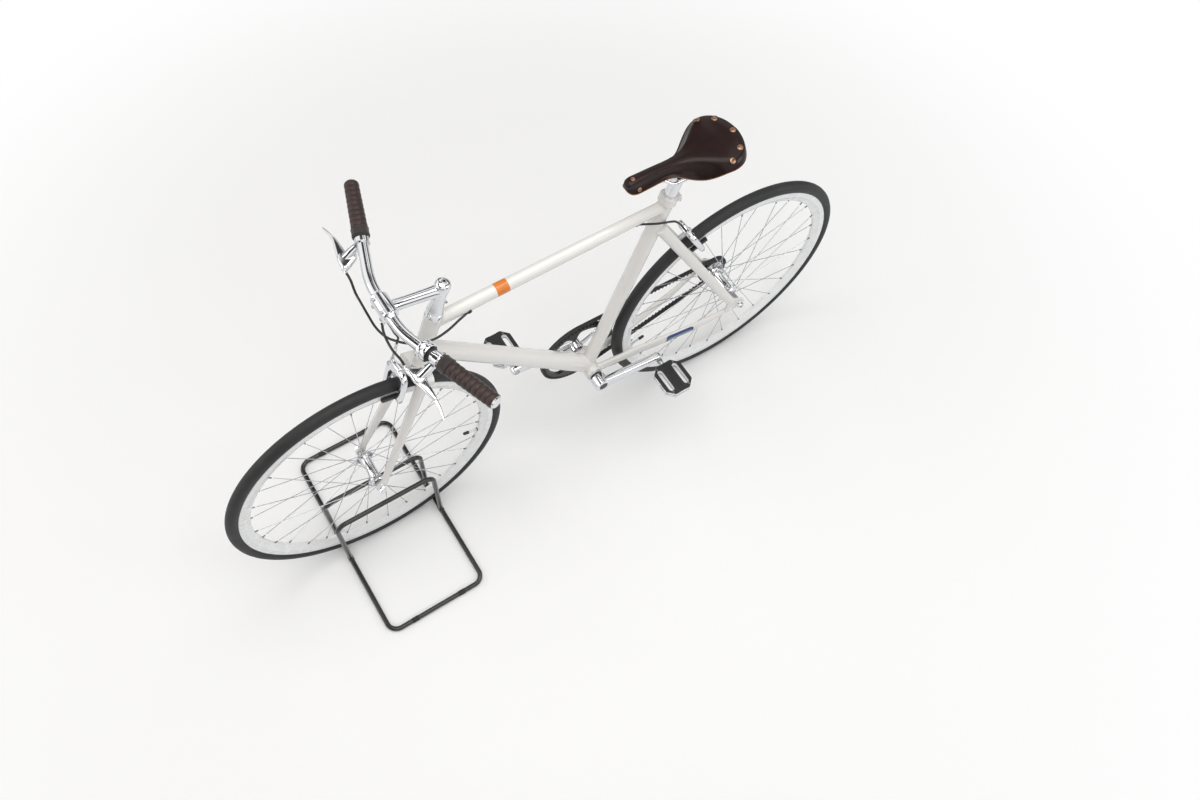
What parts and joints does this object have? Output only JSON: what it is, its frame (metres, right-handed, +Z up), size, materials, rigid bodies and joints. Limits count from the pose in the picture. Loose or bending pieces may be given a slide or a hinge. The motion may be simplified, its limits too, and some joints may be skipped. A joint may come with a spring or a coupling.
{
  "type": "bicycle",
  "caption": "City bicycle with belt drive, leather saddle and swept handlebar, parked with its front wheel in a wire floor stand",
  "frame": {"origin": "on the floor, midway between the two ends, sides and under the lowest point of the part", "axes": "+X is forward, +Y is the rider's left, +Z is up"},
  "size_m": [1.678, 0.5666, 0.9565],
  "materials": {
    "frame_paint": "gloss",
    "chrome": "mirror",
    "polished_alloy": "polished",
    "grip_leather": "semi-gloss",
    "saddle_leather": "gloss",
    "black_plastic": "matte",
    "rubber": "matte",
    "cable_black": "satin",
    "stand_black": "gloss",
    "tyre_black": "matte",
    "rim_white": "gloss",
    "spoke_steel": "satin",
    "sprocket_black": "satin"
  },
  "bodies": {
    "front_end": {"fork_crown": "frame_paint", "left_fork_blade": "frame_paint", "right_fork_blade": "frame_paint", "front_axle": "chrome", "headset_top": "chrome", "stem": "polished_alloy", "stem_faceplate": "polished_alloy", "handlebar": "polished_alloy", "left_grip": "grip_leather", "right_grip": "grip_leather", "left_brake_lever": "polished_alloy", "right_brake_lever": "polished_alloy", "bell": "polished_alloy", "bell_mount": "black_plastic", "front_brake_caliper": "polished_alloy", "front_brake_pads": "rubber", "front_brake_cable": "cable_black", "rear_brake_cable_loop": "cable_black", "stand_floor_frame": "stand_black", "stand_hoops": "stand_black"},
    "front_wheel": {"front_tyre": "tyre_black", "front_rim": "rim_white", "front_spokes": "spoke_steel", "front_hub": "polished_alloy"},
    "frame": {"head_tube": "frame_paint", "headset_cups": "chrome", "top_tube": "frame_paint", "down_tube": "frame_paint", "seat_tube": "frame_paint", "bottom_bracket_shell": "frame_paint", "bottom_bracket_cups": "polished_alloy", "left_chainstay": "frame_paint", "right_chainstay": "frame_paint", "seatstays": "frame_paint", "rear_dropouts": "frame_paint", "seat_collar": "polished_alloy", "seatpost": "polished_alloy", "saddle_frame": "chrome", "saddle_leather": "saddle_leather", "rear_axle": "chrome", "rear_brake_caliper": "polished_alloy", "rear_brake_pads": "rubber", "rear_brake_cable": "cable_black", "drive_belt": "rubber"},
    "rear_wheel": {"rear_tyre": "tyre_black", "rear_rim": "rim_white", "rear_spokes": "spoke_steel", "rear_hub": "polished_alloy"},
    "rear_sprocket": {"rear_sprocket": "sprocket_black"},
    "crankset": {"left_crank": "polished_alloy", "right_crank": "polished_alloy", "front_sprocket": "sprocket_black"},
    "left_pedal": {"left_pedal": "black_plastic"},
    "right_pedal": {"right_pedal": "black_plastic"}
  },
  "joints": [
    {"name": "front_wheel_spin", "type": "hinge", "parent": "front_end", "child": "front_wheel", "pos_m": [0.5, 0, 0.339], "axis": [0, 1, 0], "continuous": true},
    {"name": "steering", "type": "hinge", "parent": "front_end", "child": "frame", "pos_m": [0.4582, 0, 0.3246], "axis": [-0.3256, 0, 0.9455], "range_deg": [-60, 60], "deforming": ["rear_brake_cable_loop"]},
    {"name": "rear_wheel_spin", "type": "hinge", "parent": "frame", "child": "rear_wheel", "pos_m": [-0.5, 0, 0.339], "axis": [0, 1, 0], "continuous": true},
    {"name": "crank_spin", "type": "hinge", "parent": "frame", "child": "crankset", "pos_m": [-0.092, 0, 0.285], "axis": [0, 1, 0], "continuous": true},
    {"name": "rear_sprocket_spin", "type": "hinge", "parent": "frame", "child": "rear_sprocket", "pos_m": [-0.5, 0, 0.339], "axis": [0, 1, 0], "continuous": true},
    {"name": "left_pedal_spin", "type": "hinge", "parent": "crankset", "child": "left_pedal", "pos_m": [-0.26073, 0.13, 0.26428], "axis": [0, 1, 0], "continuous": true},
    {"name": "right_pedal_spin", "type": "hinge", "parent": "crankset", "child": "right_pedal", "pos_m": [0.07673, -0.13, 0.30572], "axis": [0, 1, 0], "continuous": true}
  ],
  "couplings": [
    {"joint": "rear_sprocket_spin", "follows": "crank_spin", "ratio": 2.5}
  ]
}
